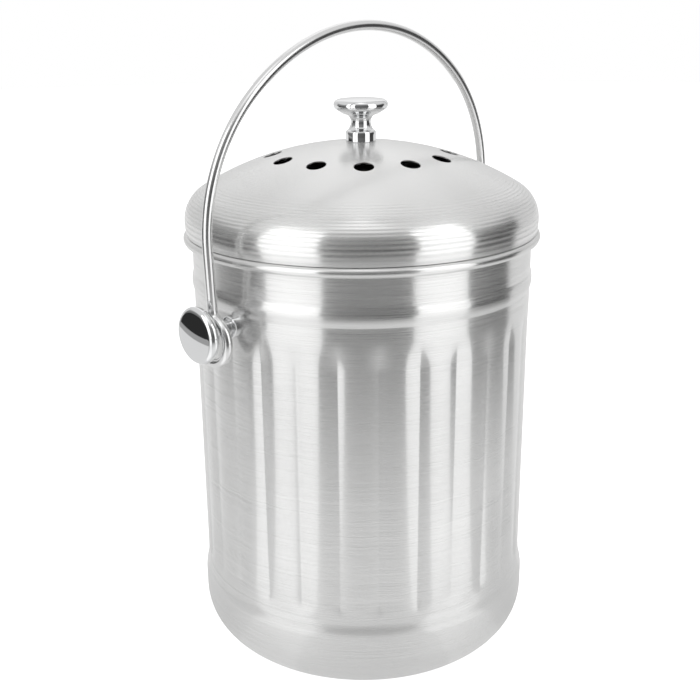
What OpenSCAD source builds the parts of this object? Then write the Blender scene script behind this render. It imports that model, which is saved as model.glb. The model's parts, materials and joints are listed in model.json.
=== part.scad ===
// Countertop compost pail: ribbed steel bucket, vented lift-off lid with a charcoal filter, wire bail.
// Millimetres, +Z up, origin on the floor under the bucket's centre, +X along the bail's pivot line.

/* [Bucket] */
// Outside radius of the straight wall
body_r = 89.2; // [84:0.1:96]
// Thickness of the bucket's sheet
wall_t = 0.6; // [0.5:0.05:0.8]
// Height of the rim's top above the floor
bucket_h = 229.3; // [220:0.1:250]
// Radius of the rounded base corner
corner_r = 24.5; // [18:0.5:28]
// How far the base band stands out from the wall
band_out = 1.7; // [1:0.1:2.4]
// Height of the base band's widest line
band_z = 36; // [32:0.5:40]
// Radius of the base band's rounded shoulder
band_shoulder_r = 30; // [20:1:31]
// Radius of the raised middle of the base, at its top
recess_r = 54; // [40:0.5:58]
// Height of the raised middle of the base
recess_h = 2; // [1:0.1:3]
// Width of the slope round the raised middle of the base
recess_slope = 3; // [2:0.5:6]

/* [Rim and ring] */
// Radius of the rolled rim bead's section
bead_r = 2.5; // [2:0.1:3]
// Part of the bead's circle that the roll leaves open, in degrees
bead_open = 55; // [45:1:70]
// Distance from the rim's top down to the middle of the raised ring
ring_drop = 25; // [22:0.5:30]
// How far the raised ring stands out from the wall
ring_out = 0.9; // [0.5:0.1:1.4]
// Half the height of the raised ring
ring_half_h = 4.8; // [4:0.1:5.5]

/* [Ribs] */
// Number of ribs round the wall
rib_count = 28; // [24:1:32]
// Radius of each rib's rounded front
rib_r = 30; // [28:1:36]
// Distance from the ring's lower edge down to the top of the ribs
rib_top_drop = 12.5; // [12:0.5:20]
// Distance from the base band's top edge up to the foot of the ribs
rib_foot_gap = 1.5; // [1:0.5:8]
// Height over which the grooves fade out at the top
fade_top = 7; // [5:0.5:12]
// Height over which the grooves fade out at the foot
fade_foot = 3; // [2:0.5:8]
// Turn of the groove pattern from the pivot line, in degrees
rib_turn = -1.8; // [-6:0.1:6]
// How far the ribs' fronts stay inside the wall's outside radius
crest_inset = 0.05; // [0.02:0.01:0.2]
// How far the plain wall behind the ribs lies below the grooves
groove_hide = 0.4; // [0.2:0.05:0.6]

/* [Bail pivots] */
// Distance from the ring's lower edge down to the pivot line
pivot_drop = 5.6; // [5.6:0.1:6.4]
// Radius of the collar on the wall
collar_r = 5.5; // [5:0.1:5.6]
// Length of the collar
collar_l = 3; // [2:0.1:4]
// Radius of the stub that the eye turns on
stub_r = 4.2; // [3.6:0.1:4.8]
// Length of the stub, between the collar and the cap
stub_l = 12.8; // [12:0.1:16]
// Radius of the pivot cap's head
cap_r = 14; // [13:0.1:16]
// Distance from the cap's back to its widest line
cap_l = 5; // [4.5:0.1:6]
// Radius of the cap's back face
cap_neck_r = 9.5; // [9.2:0.1:9.8]
// Radius of the hollow curve behind the cap's head
cap_flare_r = 4; // [3.6:0.1:4]
// Height of the cap's dome
cap_dome_h = 2.6; // [1.5:0.1:4]
// Radius of the washer inside the wall
pivot_washer_r = 5.2; // [4.6:0.1:5.5]
// Thickness of that washer at its middle
pivot_washer_t = 1; // [0.8:0.1:1.4]
// How far the pivot screw reaches into the cap
cap_bite = 5; // [4:0.5:6]

/* [Bail] */
// Radius of the bail's wire
wire_r = 2.5; // [2:0.1:2.6]
// Radius of the eye's centre line
eye_r = 11.2; // [10.8:0.1:11.6]
// Radius of the bend above the eye
neck_bend_r = 5; // [4:0.5:7]
// Angle that the eye's loop leaves open beside its neck, in degrees
eye_open = 22; // [20:1:40]
// How much the bail is wider at its widest than at its eyes, on each side
bail_swell = 2.1; // [0.5:0.1:4]
// Height of the widest line above the pivots
bail_belly_z = 46; // [40:1:56]
// Radius of the bail's shoulders
bail_shoulder_r = 86; // [70:1:90]
// How much the crown's radius is larger than half the bail's width
bail_crown_extra = 7; // [4:0.5:20]
// Radius of the bend where each leg turns upright
leg_bend_r = 25; // [15:1:40]
// How far the bail has slid along its stubs towards the left cap
bail_shift = 3; // [0:0.1:3]
// How far the bail leans forward at rest, in degrees
bail_lean = 2.6; // [0:0.1:4]

/* [Lid] */
// How far the lid's edge stands out from the bucket's wall
lid_overhang = 3.3; // [2:0.1:8]
// Thickness of the lid's sheet
lid_t = 0.6; // [0.5:0.05:0.8]
// Height of the lid's upright edge
lid_edge_h = 6.4; // [4:0.1:10]
// Radius of the lid's rounded shoulder
lid_shoulder_r = 17.7; // [14:0.1:22]
// Radius of the dome
dome_r = 163.7; // [150:0.1:190]
// Number of vents
vent_count = 12; // [8:1:16]
// Radius of each vent
vent_r = 5; // [3:0.1:6]
// Radius of the circle of vents
vent_circle_r = 45.7; // [35:0.1:55]
// Turn of the circle of vents, in degrees
vent_turn = 16.2; // [0:0.1:30]

/* [Under the lid] */
// Depth of the locating skirt below the rim's top
skirt_depth = 11; // [6:0.5:14]
// Thickness of the locating ring's sheet
skirt_t = 0.6; // [0.5:0.05:0.8]
// Gap between the skirt and the charcoal filter's edge
filter_gap = 9.2; // [7:0.1:16]
// Thickness of the charcoal filter
filter_t = 10; // [5:0.5:11]
// Height of the filter's underside above the lid's lower edge
filter_lift = 10.4; // [8:0.1:11]
// Number of tabs that hold the filter
tab_count = 4; // [4:1:4]
// Width of each tab
tab_w = 10; // [6:0.5:14]
// Thickness of each tab
tab_t = 0.8; // [0.6:0.1:1]
// Distance from the skirt's inner face to the tab's tip
tab_reach = 17; // [14:0.5:20]

/* [Knob] */
// Radius of the knob's head
knob_r = 13.9; // [12:0.1:17]
// Height of the head's widest line above the lid
knob_z = 18.3; // [17.5:0.1:22]
// Radius of the knob's neck
knob_neck_r = 5; // [4:0.1:6]
// Radius of the hollow curve under the head
knob_flare_r = 8.2; // [7.5:0.1:9]
// Height of the knob's dome
knob_dome_h = 2.6; // [1.5:0.1:4]
// Radius of the knob's foot
knob_foot_r = 7.4; // [6.5:0.1:9]
// Height of the knob's foot
knob_foot_h = 5.2; // [4:0.1:6]
// Radius of the washer under the dome
knob_washer_r = 7; // [5.5:0.1:9]
// Thickness of that washer
knob_washer_t = 1; // [0.8:0.1:1.5]
// How far the knob screw reaches into the knob
knob_bite = 11; // [8:0.5:14]
// How far the threaded holes run past the screws' ends
drill_past = 1; // [0.5:0.1:1.5]

/* [Screws and fits] */
// Radius of the screws' shanks
screw_r = 2; // [1.6:0.1:2.4]
// Radius of the screws' heads
screw_head_r = 3.9; // [3.4:0.1:4.4]
// Height of the screws' heads
screw_head_h = 2.2; // [1.8:0.1:2.6]
// Width of the slots in the screws' heads
slot_w = 1; // [0.6:0.1:1.2]
// Depth of the slots in the screws' heads
slot_depth = 1.1; // [0.8:0.1:1.4]
// Radius of the rounded edge of the knob's head and the caps' heads
head_edge_r = 1; // [0.6:0.1:1.4]
// Clearance round a screw in a plain hole
hole_clear = 0.25; // [0.15:0.05:0.4]
// Clearance round a screw in its threaded hole
thread_clear = 0.05; // [0.02:0.01:0.1]
// Clearance between the eye and the stub that carries it
eye_clear = 0.25; // [0.2:0.05:0.4]
// Clearance between the rim and the lid's flange
lid_clear = 0.2; // [0.15:0.05:0.4]
// Clearance between the bucket's mouth and the skirt
skirt_clear = 0.8; // [0.5:0.1:1.2]

/* [Hidden] */
$fn = 96;

// A cutter runs this far past the face that it cuts
over = 1;
// Facets round a large cylinder or ball that trims a small piece
fine = 360;
// Facets round the wire
wire_facets = 48;
// A small ball joins each two lengths of wire, which stop this far short of its middle
joint_trim = 0.1;
// How much larger than the wire the ball is
joint_swell = 0.02;
steel = [0.77, 0.77, 0.76];
chrome = [0.86, 0.87, 0.88];
charcoal = [0.06, 0.06, 0.06];

// Heights and radii of the bucket
band_r = body_r + band_out;
mouth_r = body_r - wall_t;
bead_z = bucket_h - bead_r;
bead_axis_r = mouth_r + bead_r;
ring_z = bucket_h - ring_drop;
ring_low_z = ring_z - ring_half_h;
ring_arc_r = (ring_half_h * ring_half_h + ring_out * ring_out) / (2 * ring_out);
band_top_z = band_z + sqrt(pow(band_shoulder_r, 2) - pow(band_shoulder_r - band_out, 2));

// Ribs: each is part of a cylinder, and neighbours meet in a groove
rib_z0 = band_top_z + rib_foot_gap;
rib_z1 = ring_low_z - rib_top_drop;
rib_axis_r = body_r - crest_inset - rib_r;
rib_half = 180 / rib_count;
groove_r = rib_axis_r * cos(rib_half) + sqrt(pow(rib_r, 2) - pow(rib_axis_r * sin(rib_half), 2));

// Places along the pivot line, measured from the bucket's axis
pivot_z = ring_low_z - pivot_drop;
collar_x = body_r + collar_l;
cap_x = collar_x + stub_l;
washer_x = mouth_r - pivot_washer_t;

// Bail: half widths, and the centres of its bends, above the pivot line
eye_x = (collar_x + cap_x) / 2;
belly_x = eye_x + bail_swell;
eye_drop = eye_r - wire_r - stub_r - eye_clear;
neck_z = sqrt(pow(eye_r, 2) + 2 * neck_bend_r * eye_r) - eye_drop;
neck_turn = atan2(neck_bend_r, neck_z + eye_drop);
shoulder_x = belly_x - bail_shoulder_r;
crown_r = belly_x + bail_crown_extra;
crown_turn = asin(shoulder_x / (crown_r - bail_shoulder_r));
crown_z = bail_belly_z - (crown_r - bail_shoulder_r) * cos(crown_turn);
bend_dx = eye_x + leg_bend_r - shoulder_x;
bend_dz = bail_belly_z - neck_z;
leg_slant = atan2(bend_dz, bend_dx) - acos((bail_shoulder_r + leg_bend_r) / norm([bend_dx, bend_dz]));
leg_top = [shoulder_x + bail_shoulder_r * cos(leg_slant), bail_belly_z - bail_shoulder_r * sin(leg_slant)];
leg_foot = [eye_x + leg_bend_r * (1 - cos(leg_slant)), neck_z + leg_bend_r * sin(leg_slant)];

// Radii and heights of the lid
lid_r = body_r + lid_overhang;
lid_z = bucket_h + lid_clear;
shoulder_z = lid_z + lid_edge_h;
lid_tilt = asin((lid_r - lid_shoulder_r) / (dome_r - lid_shoulder_r));
dome_axis_z = shoulder_z - (dome_r - lid_shoulder_r) * cos(lid_tilt);
dome_top_z = dome_axis_z + dome_r;
skirt_r = mouth_r - skirt_clear;
filter_r = skirt_r - skirt_t - filter_gap;
filter_z = lid_z + filter_lift;

// Base corner, base band and its shoulder, all drawn in by inset
module base_outline(inset) {
    translate([band_r - corner_r, corner_r])
        circle(corner_r - inset);
    translate([0, inset])
        square([band_r - corner_r, band_z - inset]);
    translate([0, corner_r])
        square([band_r - inset, band_z - corner_r]);
    intersection() {
        translate([band_r - band_shoulder_r, band_z])
            circle(band_shoulder_r - inset);
        translate([0, band_z])
            square([band_r, band_shoulder_r]);
    }
}

// Plain wall with a shallow waist in the ribbed part, up to height top
module wall_outline(inset, top) {
    wall = body_r - inset;
    waist = groove_r - groove_hide - inset;
    polygon([
        [0, corner_r],
        [wall, corner_r],
        [wall, rib_z0],
        [waist, rib_z0 + fade_foot],
        [waist, rib_z1 - fade_top],
        [wall, rib_z1],
        [wall, top],
        [0, top]
    ]);
}

module ring_outline(inset) {
    intersection() {
        translate([body_r + ring_out - ring_arc_r, ring_z])
            circle(ring_arc_r - inset);
        translate([body_r / 2, ring_z - ring_arc_r])
            square([body_r, 2 * ring_arc_r]);
    }
}

// Solid pail shape, drawn in by inset all round, with its flat top at height top
module pail(inset, top) {
    rotate_extrude() {
        base_outline(inset);
        wall_outline(inset, top);
        ring_outline(inset);
    }
    for (i = [0 : rib_count - 1])
        rotate([0, 0, rib_turn + (i + 0.5) * 360 / rib_count])
            translate([rib_axis_r, 0, rib_z0])
                cylinder(r = rib_r - inset, h = rib_z1 - rib_z0);
}

// Raised middle of the base, lifted and widened by grow
module base_recess(grow) {
    foot = grow == 0 ? over : 0;
    slope = recess_slope / recess_h;
    translate([0, 0, -foot])
        cylinder(
            r1 = recess_r + recess_slope + grow + foot * slope,
            r2 = recess_r + grow - grow * slope,
            h = recess_h + grow + foot
        );
}

// Rolled rim: a tube of sheet, open towards the wall below its middle
module rim_bead() {
    reach = 2 * bead_r;
    rotate_extrude()
        translate([bead_axis_r, bead_z])
            difference() {
                circle(bead_r);
                circle(bead_r - wall_t);
                polygon([
                    [0, 0],
                    [-reach, 0],
                    [-reach, -reach * sin(bead_open)],
                    [-reach * cos(bead_open), -reach * sin(bead_open)]
                ]);
            }
}

// Lays a shape drawn along +Z along the pivot line, on the right (side 1) or on the left (side -1)
module on_pivot(side, x) {
    translate([side * x, 0, pivot_z])
        rotate([0, side * 90, 0])
            children();
}

module bucket_body() {
    color(steel)
    difference() {
        union() {
            difference() {
                pail(0, bead_z);
                difference() {
                    pail(wall_t, bead_z + over);
                    base_recess(wall_t);
                }
                base_recess(0);
            }
            rim_bead();
        }
        for (side = [-1, 1])
            on_pivot(side, washer_x - over)
                cylinder(r = screw_r + hole_clear, h = pivot_washer_t + wall_t + 2 * over);
    }
}

// Collar whose back is cut to the wall's curve
module pivot_collar(side) {
    color(chrome)
    difference() {
        on_pivot(side, washer_x)
            cylinder(r = collar_r, h = collar_x - washer_x);
        translate([0, 0, pivot_z - 2 * collar_r])
            cylinder(r = body_r, h = 4 * collar_r, $fn = fine);
        on_pivot(side, washer_x - over)
            cylinder(r = screw_r + hole_clear, h = collar_x - washer_x + 2 * over);
    }
}

module pivot_stub(side) {
    color(chrome)
    on_pivot(side, collar_x)
        difference() {
            cylinder(r = stub_r, h = stub_l);
            translate([0, 0, -over])
                cylinder(r = screw_r + hole_clear, h = stub_l + 2 * over);
        }
}

// Turned head on a hollow-curved neck, along +Z; the neck starts at height foot
module turned_head(head_r, head_z, neck_r, neck_z, flare_r, dome_h, foot) {
    flat_r = head_r - head_edge_r;
    dome_z = head_z + head_edge_r;
    arc_r = (flat_r * flat_r + dome_h * dome_h) / (2 * dome_h);
    rotate_extrude() {
        difference() {
            translate([0, foot])
                square([flat_r, head_z - head_edge_r - foot]);
            translate([neck_r + flare_r, neck_z])
                circle(flare_r);
        }
        translate([0, head_z - head_edge_r])
            square([flat_r, 2 * head_edge_r]);
        translate([flat_r, head_z])
            circle(head_edge_r);
        intersection() {
            translate([0, dome_z + dome_h - arc_r])
                circle(arc_r);
            translate([0, dome_z])
                square([flat_r, dome_h]);
        }
    }
}

module pivot_cap(side) {
    color(chrome)
    on_pivot(side, cap_x)
        difference() {
            turned_head(cap_r, cap_l, cap_neck_r, 0, cap_flare_r, cap_dome_h, 0);
            translate([0, 0, -over])
                cylinder(r = screw_r + thread_clear, h = cap_bite + drill_past + over);
        }
}

// Screw with a slotted head, from z = 0 upwards, its head hanging below
module screw(shank) {
    difference() {
        union() {
            cylinder(r = screw_r, h = shank);
            translate([0, 0, -screw_head_h])
                cylinder(r = screw_head_r, h = screw_head_h);
        }
        for (turn = [0, 90])
            rotate([0, 0, turn])
                translate([-screw_head_r * 0.6, -slot_w / 2, -screw_head_h - over])
                    cube([screw_head_r * 1.2, slot_w, slot_depth + over]);
    }
}

module pivot_screw(side) {
    color(chrome)
    on_pivot(side, washer_x)
        screw(cap_x - washer_x + cap_bite);
}

// Washer with a flat inner face and an outer face cut to the wall's curve
module pivot_washer(side) {
    color(chrome)
    difference() {
        intersection() {
            on_pivot(side, washer_x)
                cylinder(r = pivot_washer_r, h = pivot_washer_t + over);
            translate([0, 0, pivot_z - 2 * pivot_washer_r])
                cylinder(r = mouth_r, h = 4 * pivot_washer_r, $fn = fine);
        }
        on_pivot(side, washer_x - over)
            cylinder(r = screw_r + hole_clear, h = pivot_washer_t + 3 * over);
    }
}

// Bent wire in the XZ plane: from angle start, through turn degrees, about (x, z), with a ball at its end
module wire_arc(x, z, r, start, turn, ball = true) {
    trim = joint_trim / r * 180 / PI;
    translate([x, 0, z])
        rotate([90, 0, 0]) {
            rotate([0, 0, start + trim])
                rotate_extrude(angle = turn - 2 * trim)
                    translate([r, 0])
                        circle(wire_r, $fn = wire_facets);
            if (ball)
                rotate([0, 0, start + turn])
                    translate([r, 0, 0])
                        sphere(wire_r + joint_swell, $fn = wire_facets);
        }
}

// Eye and its neck, in the YZ plane, below height neck_z
module bail_eye() {
    rotate([0, 0, 90]) {
        wire_arc(neck_bend_r, neck_z, neck_bend_r, 180, 90 - neck_turn, false);
        wire_arc(0, -eye_drop, eye_r, 90 + eye_open, 360 - eye_open - neck_turn);
    }
}

// Shoulder, leg and eye at the right end of the bail, upright, with the pivot line at z = 0
module bail_side() {
    leg_l = norm(leg_top - leg_foot);
    wire_arc(shoulder_x, bail_belly_z, bail_shoulder_r, -leg_slant, 90 - crown_turn + leg_slant);
    translate([leg_foot[0], 0, leg_foot[1]])
        rotate([0, leg_slant, 0]) {
            translate([0, 0, joint_trim])
                cylinder(r = wire_r, h = leg_l - 2 * joint_trim, $fn = wire_facets);
            for (z = [0, leg_l])
                translate([0, 0, z])
                    sphere(wire_r + joint_swell, $fn = wire_facets);
        }
    wire_arc(eye_x + leg_bend_r, neck_z, leg_bend_r, 180 - leg_slant, leg_slant);
    translate([eye_x, 0, 0])
        bail_eye();
}

module bail_handle() {
    color(steel)
    translate([-bail_shift, 0, pivot_z])
        rotate([bail_lean, 0, 0]) {
            wire_arc(0, crown_z, crown_r, 90 - crown_turn, 2 * crown_turn, false);
            bail_side();
            rotate([0, 0, 180])
                bail_side();
        }
}

// Solid lid shape, drawn in by inset, down to height z
module lid_solid(inset, z) {
    meet_r = (dome_r - inset) * sin(lid_tilt);
    rotate_extrude() {
        intersection() {
            translate([0, dome_axis_z])
                circle(dome_r - inset, $fn = fine);
            translate([0, z])
                square([meet_r, dome_top_z - z]);
        }
        intersection() {
            translate([lid_r - lid_shoulder_r, shoulder_z])
                circle(lid_shoulder_r - inset);
            translate([0, shoulder_z])
                square([lid_r, lid_shoulder_r]);
        }
        translate([0, z])
            square([lid_r - inset, shoulder_z - z]);
    }
}

module lid_dome() {
    color(steel)
    difference() {
        lid_solid(0, lid_z);
        lid_solid(lid_t, lid_z - over);
        for (i = [0 : vent_count - 1])
            rotate([0, 0, vent_turn + i * 360 / vent_count])
                translate([0, 0, dome_axis_z])
                    rotate([0, asin(vent_circle_r / dome_r), 0])
                        translate([0, 0, dome_r - lid_t - over])
                            cylinder(r = vent_r, h = lid_t + 2 * over);
        translate([0, 0, dome_top_z - lid_t - over])
            cylinder(r = screw_r + hole_clear, h = lid_t + 2 * over);
    }
}

module locating_ring() {
    color(steel)
    rotate_extrude() {
        translate([skirt_r - skirt_t, lid_z - skirt_depth])
            square([skirt_t, skirt_depth + skirt_t]);
        translate([skirt_r - skirt_t, lid_z])
            square([lid_r - lid_t - skirt_r + skirt_t, skirt_t]);
    }
}

// Strip that stands on the skirt's inner face and is bent in under the filter
module filter_tab(index) {
    face_r = skirt_r - skirt_t;
    foot_z = lid_z - skirt_depth + 1;
    color(steel)
    rotate([0, 0, index * 360 / tab_count])
        intersection() {
            translate([face_r - tab_reach, -tab_w / 2, foot_z])
                cube([tab_reach, tab_w, filter_z - foot_z]);
            union() {
                difference() {
                    translate([0, 0, foot_z])
                        cylinder(r = face_r, h = filter_z - foot_z);
                    translate([0, 0, foot_z - over])
                        cylinder(r = face_r - tab_t, h = filter_z - foot_z + 2 * over);
                }
                translate([0, 0, filter_z - tab_t])
                    cylinder(r = face_r, h = tab_t);
            }
        }
}

module charcoal_filter() {
    color(charcoal)
    translate([0, 0, filter_z])
        cylinder(r = filter_r, h = filter_t);
}

// Knob whose foot is cut to the dome's curve
module lid_knob() {
    color(chrome)
    difference() {
        translate([0, 0, dome_top_z]) {
            turned_head(
                knob_r, knob_z, knob_neck_r, knob_z - head_edge_r - knob_flare_r,
                knob_flare_r, knob_dome_h, knob_foot_h
            );
            translate([0, 0, -over])
                cylinder(r = knob_foot_r, h = knob_foot_h + over);
        }
        translate([0, 0, dome_axis_z])
            sphere(dome_r, $fn = fine);
        translate([0, 0, dome_top_z - 2 * over])
            cylinder(r = screw_r + thread_clear, h = knob_bite + drill_past + 2 * over);
    }
}

module knob_screw() {
    under = lid_t + knob_washer_t;
    color(chrome)
    translate([0, 0, dome_top_z - under])
        screw(under + knob_bite);
}

// Washer with a flat lower face and an upper face cut to the dome's curve
module knob_washer() {
    color(chrome)
    difference() {
        intersection() {
            translate([0, 0, dome_top_z - lid_t - knob_washer_t])
                cylinder(r = knob_washer_r, h = knob_washer_t + over);
            translate([0, 0, dome_axis_z])
                sphere(dome_r - lid_t, $fn = fine);
        }
        translate([0, 0, dome_top_z - lid_t - knob_washer_t - over])
            cylinder(r = screw_r + hole_clear, h = knob_washer_t + 3 * over);
    }
}

bucket_body();
pivot_collar(-1);  // pivot_collar_left
pivot_collar(1);  // pivot_collar_right
pivot_stub(-1);  // pivot_stub_left
pivot_stub(1);  // pivot_stub_right
pivot_cap(-1);  // pivot_cap_left
pivot_cap(1);  // pivot_cap_right
pivot_screw(-1);  // pivot_screw_left
pivot_screw(1);  // pivot_screw_right
pivot_washer(-1);  // pivot_washer_left
pivot_washer(1);  // pivot_washer_right
bail_handle();
lid_dome();
locating_ring();
filter_tab(0);  // filter_tab_1
filter_tab(1);  // filter_tab_2
filter_tab(2);  // filter_tab_3
filter_tab(3);  // filter_tab_4
charcoal_filter();
lid_knob();
knob_screw();
knob_washer();
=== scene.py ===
"""Countertop compost pail: a ribbed steel bucket with a vented lid, a knob and a wire bail."""

import json
import math

import bmesh
import bpy
from mathutils import Matrix, Vector


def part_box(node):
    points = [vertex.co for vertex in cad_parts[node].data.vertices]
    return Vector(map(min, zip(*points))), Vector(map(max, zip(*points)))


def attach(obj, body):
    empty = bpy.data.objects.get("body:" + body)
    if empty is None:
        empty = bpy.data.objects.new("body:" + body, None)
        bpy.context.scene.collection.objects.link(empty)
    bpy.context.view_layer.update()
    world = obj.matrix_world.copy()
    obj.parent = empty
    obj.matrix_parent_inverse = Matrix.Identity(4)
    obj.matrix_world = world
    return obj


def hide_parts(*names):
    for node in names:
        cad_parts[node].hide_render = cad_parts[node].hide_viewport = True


bl_info = {
    "name": "Countertop Compost Pail",
    "version": (1, 0, 0),
    "blender": (4, 5, 0),
    "location": "3D View > Sidebar > Pail",
    "description": "Models and finishes a ribbed steel compost pail around its fixed frame",
    "category": "Add Mesh",
}

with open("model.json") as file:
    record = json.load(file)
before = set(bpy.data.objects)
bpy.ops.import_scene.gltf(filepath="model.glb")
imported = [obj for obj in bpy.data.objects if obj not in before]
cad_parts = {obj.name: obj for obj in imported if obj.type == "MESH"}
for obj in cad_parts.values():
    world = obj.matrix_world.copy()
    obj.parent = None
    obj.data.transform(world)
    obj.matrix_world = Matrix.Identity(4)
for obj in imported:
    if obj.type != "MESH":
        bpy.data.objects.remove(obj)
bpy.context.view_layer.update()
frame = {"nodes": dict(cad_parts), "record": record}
SIDES = {"left": -1, "right": 1}
FINISHES = {
    "bucket_steel": "Bucket Steel",
    "lid_steel": "Lid Steel",
    "wire_steel": "Wire Steel",
    "bright_chrome": "Bright Chrome",
    "screw_steel": "Zinc",
    "charcoal_felt": "Charcoal Felt",
}

# Distances in metres under which points are merged, and under which they count as one place
MERGE = 1e-6
NEAR = 1e-5


def length(name, text, default):
    """A size in metres that the sidebar shows in the scene's units."""
    return bpy.props.FloatProperty(
        name=name, description=text, default=default, unit="LENGTH", subtype="DISTANCE", precision=5
    )


def angle(name, text, default):
    """An angle, written here in degrees."""
    return bpy.props.FloatProperty(
        name=name, description=text, default=math.radians(default), unit="ROTATION", subtype="ANGLE"
    )


def count(name, text, default):
    return bpy.props.IntProperty(name=name, description=text, default=default, min=3)


def share(name, text, default, top=1.0):
    return bpy.props.FloatProperty(
        name=name, description=text, default=default, min=0.0, max=top, subtype="FACTOR"
    )


def colour(name, text, default):
    return bpy.props.FloatVectorProperty(
        name=name, description=text, default=default, size=3, min=0.0, max=1.0, subtype="COLOR"
    )


class BucketSizes(bpy.types.PropertyGroup):
    """Sizes of the drawn steel bucket."""

    wall_r: length("Wall Radius", "Outside radius of the straight wall", 0.0892)
    sheet: length("Sheet", "Thickness of the bucket's and the lid's steel", 0.0006)
    corner_r: length("Base Corner", "Radius of the rounded base corner", 0.0245)
    band_out: length("Base Band", "How far the base band stands out from the wall", 0.0017)
    band_z: length("Band Height", "Height where the base band's shoulder begins", 0.0347)
    band_end: length("Band End", "Height where the base band's shoulder meets the wall", 0.0453)
    recess_r: length("Recess Radius", "Radius of the raised middle of the base", 0.054)
    recess_h: length("Recess Height", "Height of the raised middle of the base", 0.002)
    bead_r: length("Rim Bead", "Radius of the rolled rim's section", 0.0025)
    bead_end: angle("Rim Roll", "How far round the rim's sheet is rolled", 305)
    ring_drop: length("Ring Drop", "Distance from the rim's top down to the raised ring", 0.0245)
    ring_out: length("Ring Height", "How far the raised ring stands out", 0.0009)
    ring_half: length("Ring Half Width", "Half the width of the raised ring", 0.0048)
    ribs: count("Ribs", "Number of ribs round the wall", 28)
    rib_r: length("Rib Radius", "Radius of each rib's rounded front", 0.03)
    rib_inset: length("Rib Inset", "How far the ribs' fronts stay inside the wall's radius", 0.00005)
    rib_foot: length("Rib Foot", "Height of the ribs' lower ends", 0.0452)
    rib_top: length("Rib Top", "Height of the ribs' upper ends", 0.1935)
    fade_top: length("Top Fade", "Height over which the grooves run out at the top", 0.0165)
    fade_foot: length("Foot Fade", "Height over which the grooves run out at the foot", 0.009)
    groove_round: length("Groove Rounding", "Half the width of each groove's rounded bottom", 0.0005)
    rib_turn: angle("Rib Turn", "Turn of the grooves from the pivot line", -1.8)


class BailSizes(bpy.types.PropertyGroup):
    """Sizes of the wire bail and of the pivots that carry it."""

    pivot_z: length("Pivot Height", "Height of the pivot line", 0.1939)
    wire_r: length("Wire Radius", "Radius of the bail's wire", 0.0025)
    eye_x: length("Eye Offset", "Distance of each eye from the bail's middle", 0.0986)
    eye_r: length("Eye Radius", "Radius of each eye's centre line", 0.0112)
    eye_drop: length("Eye Drop", "How far each eye hangs below the pivot line", 0.00425)
    eye_open: angle("Eye Opening", "Angle that each eye leaves open beside its neck", 22)
    neck_r: length("Neck Bend", "Radius of the bend above each eye", 0.005)
    belly_x: length("Half Width", "Half of the bail's greatest width", 0.1007)
    belly_z: length("Belly Height", "Height of the widest line above the pivots", 0.046)
    shoulder_r: length("Shoulder Radius", "Radius of the bail's shoulders", 0.086)
    crown_r: length("Crown Radius", "Radius of the bail's crown", 0.1077)
    leg_bend_r: length("Leg Bend", "Radius of the bend where each leg turns upright", 0.025)
    shift: length("Side Play", "How far the bail has slid towards the left cap", 0.003)
    lean: angle("Lean", "How far the bail leans forward", 2.6)
    cap_x: length("Cap Offset", "Distance of each cap's back from the middle", 0.105)
    cap_r: length("Cap Radius", "Radius of each cap's head", 0.014)
    cap_l: length("Cap Length", "Distance from each cap's back to its widest line", 0.005)
    cap_neck_r: length("Cap Neck", "Radius of each cap's back", 0.0095)
    cap_flare_r: length("Cap Flare", "Radius of the hollow curve behind each cap's head", 0.004)
    stub_r: length("Stub Radius", "Radius of the stub that each eye turns on", 0.0042)
    collar_x: length("Collar Offset", "Distance of each collar's front from the middle", 0.0922)
    collar_r: length("Collar Radius", "Radius of the collar on the wall", 0.0055)


class LidSizes(bpy.types.PropertyGroup):
    """Sizes of the lid, its knob and its filter."""

    lid_z: length("Lid Height", "Height of the lid's lower edge", 0.2295)
    lid_r: length("Lid Radius", "Outside radius of the lid's edge", 0.0925)
    edge_h: length("Edge", "Height of the lid's upright edge", 0.0064)
    edge_in: length("Edge Taper", "How far the lid's edge draws in at the bottom", 0.0006)
    shoulder_r: length("Shoulder", "Radius of the lid's rounded shoulder", 0.0177)
    dome_r: length("Dome Radius", "Radius of the dome", 0.1637)
    vents: count("Vents", "Number of vents", 12)
    vent_r: length("Vent Radius", "Radius of each vent", 0.005)
    vent_circle_r: length("Vent Circle", "Radius of the circle of vents", 0.0457)
    vent_turn: angle("Vent Turn", "Turn of the circle of vents", 16.2)
    groove_pitch: length("Groove Pitch", "Distance between the turned grooves", 0.0021)
    groove_depth: length("Groove Depth", "Half the depth of the turned grooves", 0.00005)
    screw_hole_r: length("Screw Hole", "Radius of the hole under the knob", 0.00225)
    knob_r: length("Knob Radius", "Radius of the knob's head", 0.01405)
    knob_z: length("Knob Height", "Height of the head's widest line above the lid", 0.01835)
    knob_neck_r: length("Knob Neck", "Radius of the knob's waist", 0.0052)
    knob_neck_z: length("Waist Height", "Height of the knob's waist above the lid", 0.0097)
    knob_flare_r: length("Knob Flare", "Radius of the hollow curve under the head", 0.004)
    knob_waist_r: length("Waist Curve", "Radius of the hollow curve over the foot", 0.006)
    knob_foot_r: length("Knob Foot", "Radius of the knob's foot", 0.00785)
    knob_foot_h: length("Foot Height", "Height of the knob's foot", 0.0059)
    knob_foot_edge: length("Foot Edge", "Radius of the foot's rounded upper edge", 0.0017)
    foot_chamfer: length("Foot Chamfer", "Chamfer of the foot's lower edge", 0.0003)
    head_edge_r: length("Head Edge", "Radius of the rounded edge of the knob and the caps", 0.00275)
    head_dome_h: length("Head Dome", "Height of the dome on the knob and the caps", 0.0008)
    thread_r: length("Threaded Hole", "Radius of the holes that the screws turn into", 0.00205)
    filter_edge: length("Filter Edge", "Radius of the filter pad's rounded edges", 0.0022)


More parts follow.
